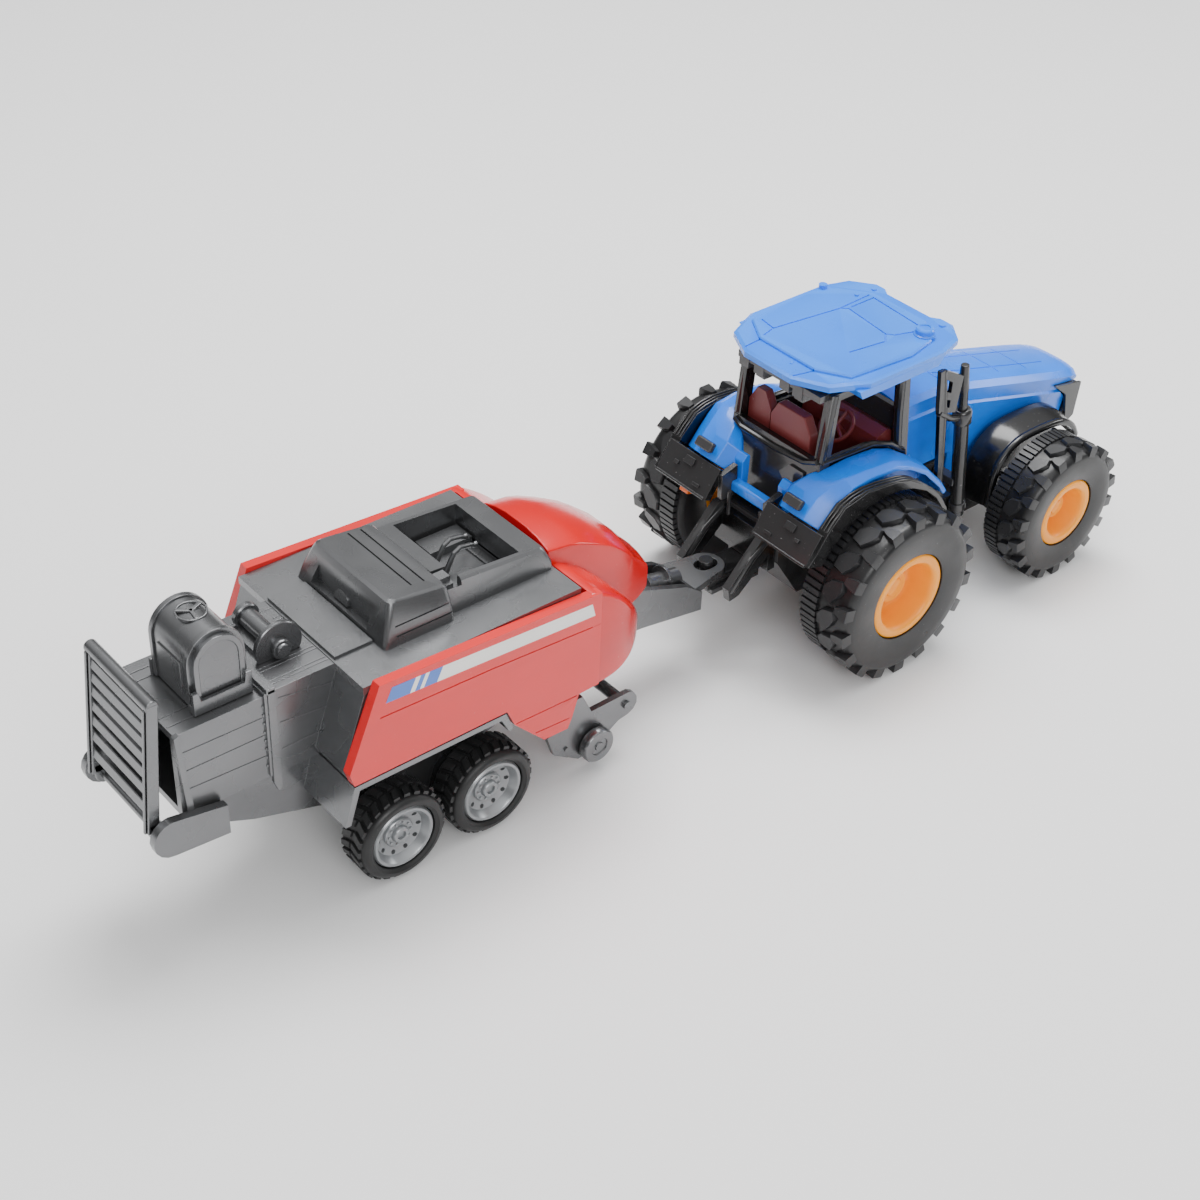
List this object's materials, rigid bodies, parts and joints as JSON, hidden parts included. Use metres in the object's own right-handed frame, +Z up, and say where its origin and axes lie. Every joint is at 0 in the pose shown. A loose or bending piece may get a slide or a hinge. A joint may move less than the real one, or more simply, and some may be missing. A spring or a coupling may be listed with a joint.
{
  "type": "toy tractor with square baler",
  "caption": "Toy farm tractor with rolling wheels and a friction motor, towing a square baler on a swivel drawbar with a folding bale chute.",
  "frame": {"origin": "on the ground, midway along and across the coupled tractor and baler", "axes": "+X forward, +Y to the driver's left, +Z up"},
  "size_m": [0.39, 0.1056, 0.1068],
  "materials": {
    "tyre_black": "satin moulded soft plastic",
    "wheel_orange": "gloss moulded",
    "wheel_silver": "silver-painted, satin",
    "steel": "plain drawn bar",
    "nylon": "natural nylon",
    "body_blue": "high gloss",
    "trim_black": "semi-gloss moulded",
    "interior_maroon": "satin moulded",
    "lamp_silver": "silver-painted",
    "baler_grey": "metallic grey moulding",
    "baler_red": "high gloss"
  },
  "bodies": {
    "tractor": {"chassis_pan": "trim_black", "pan_screw_middle": "steel", "pan_screw_front": "steel", "motor_case": "nylon", "motor_cover": "nylon", "hitch_bracket": "trim_black", "rear_fender_left": "body_blue", "rear_fender_right": "body_blue", "fender_arch_left": "trim_black", "fender_arch_right": "trim_black", "front_fender_left": "trim_black", "front_fender_right": "trim_black", "cab_frame": "trim_black", "cab_roof": "body_blue", "cab_tub": "interior_maroon", "driver_seat": "interior_maroon", "bonnet": "body_blue", "front_grille": "trim_black", "headlamp_left": "lamp_silver", "headlamp_right": "lamp_silver", "exhaust_stack": "trim_black", "mirror_bracket": "trim_black"},
    "rear_wheels": {"rear_axle": "steel", "rear_rim_left": "wheel_orange", "rear_rim_right": "wheel_orange", "rear_tyre_left": "tyre_black", "rear_tyre_right": "tyre_black", "axle_gear": "nylon"},
    "front_wheels": {"front_axle": "steel", "front_rim_left": "wheel_orange", "front_rim_right": "wheel_orange", "front_tyre_left": "tyre_black", "front_tyre_right": "tyre_black"},
    "idler": {"idler_gear": "nylon"},
    "flywheel": {"flywheel": "steel"},
    "baler": {"drawbar": "baler_grey", "under_frame": "baler_grey", "frame_screw": "steel", "bale_chamber": "baler_grey", "twine_dome": "baler_grey", "knotter_winch": "baler_grey", "side_panel_left": "baler_red", "side_panel_right": "baler_red", "nose_hood": "baler_red", "deck_housing": "baler_grey", "pickup_frame": "baler_grey"},
    "bale_chute": {"bale_chute": "baler_grey"},
    "baler_rear_wheels": {"baler_rear_axle": "steel", "baler_rear_rim_left": "wheel_silver", "baler_rear_rim_right": "wheel_silver", "baler_rear_tyre_left": "tyre_black", "baler_rear_tyre_right": "tyre_black"},
    "baler_front_wheels": {"baler_front_axle": "steel", "baler_front_rim_left": "wheel_silver", "baler_front_rim_right": "wheel_silver", "baler_front_tyre_left": "tyre_black", "baler_front_tyre_right": "tyre_black"},
    "gauge_wheel_left": {"gauge_wheel_left": "baler_grey"},
    "gauge_wheel_right": {"gauge_wheel_right": "baler_grey"}
  },
  "joints": [
    {"name": "rear_wheels_spin", "type": "hinge", "parent": "tractor", "child": "rear_wheels", "pos_m": [0.066, 0, 0.031], "axis": [0, 1, 0], "continuous": true},
    {"name": "front_wheels_spin", "type": "hinge", "parent": "tractor", "child": "front_wheels", "pos_m": [0.1533, 0, 0.0261], "axis": [0, 1, 0], "continuous": true},
    {"name": "idler_spin", "type": "hinge", "parent": "tractor", "child": "idler", "pos_m": [0.078, 0, 0.031], "axis": [0, 1, 0], "continuous": true},
    {"name": "flywheel_spin", "type": "hinge", "parent": "tractor", "child": "flywheel", "pos_m": [0.09, 0, 0.031], "axis": [0, 1, 0], "continuous": true},
    {"name": "hitch_swivel", "type": "hinge", "parent": "tractor", "child": "baler", "pos_m": [0.0223, 0, 0.032], "axis": [0, 0, 1], "range_deg": [-30, 30]},
    {"name": "chute_fold", "type": "hinge", "parent": "baler", "child": "bale_chute", "pos_m": [-0.1906, 0, 0.0455], "axis": [0, -1, 0], "range_deg": [0, 90]},
    {"name": "baler_rear_wheels_spin", "type": "hinge", "parent": "baler", "child": "baler_rear_wheels", "pos_m": [-0.1221, 0, 0.0154], "axis": [0, 1, 0], "continuous": true},
    {"name": "baler_front_wheels_spin", "type": "hinge", "parent": "baler", "child": "baler_front_wheels", "pos_m": [-0.0896, 0, 0.0154], "axis": [0, 1, 0], "continuous": true},
    {"name": "gauge_wheel_left_spin", "type": "hinge", "parent": "baler", "child": "gauge_wheel_left", "pos_m": [-0.047, 0.028, 0.01], "axis": [0, 1, 0], "continuous": true},
    {"name": "gauge_wheel_right_spin", "type": "hinge", "parent": "baler", "child": "gauge_wheel_right", "pos_m": [-0.047, -0.028, 0.01], "axis": [0, 1, 0], "continuous": true}
  ],
  "couplings": [
    {"joint": "idler_spin", "follows": "rear_wheels_spin", "ratio": -2},
    {"joint": "flywheel_spin", "follows": "rear_wheels_spin", "ratio": 4}
  ]
}
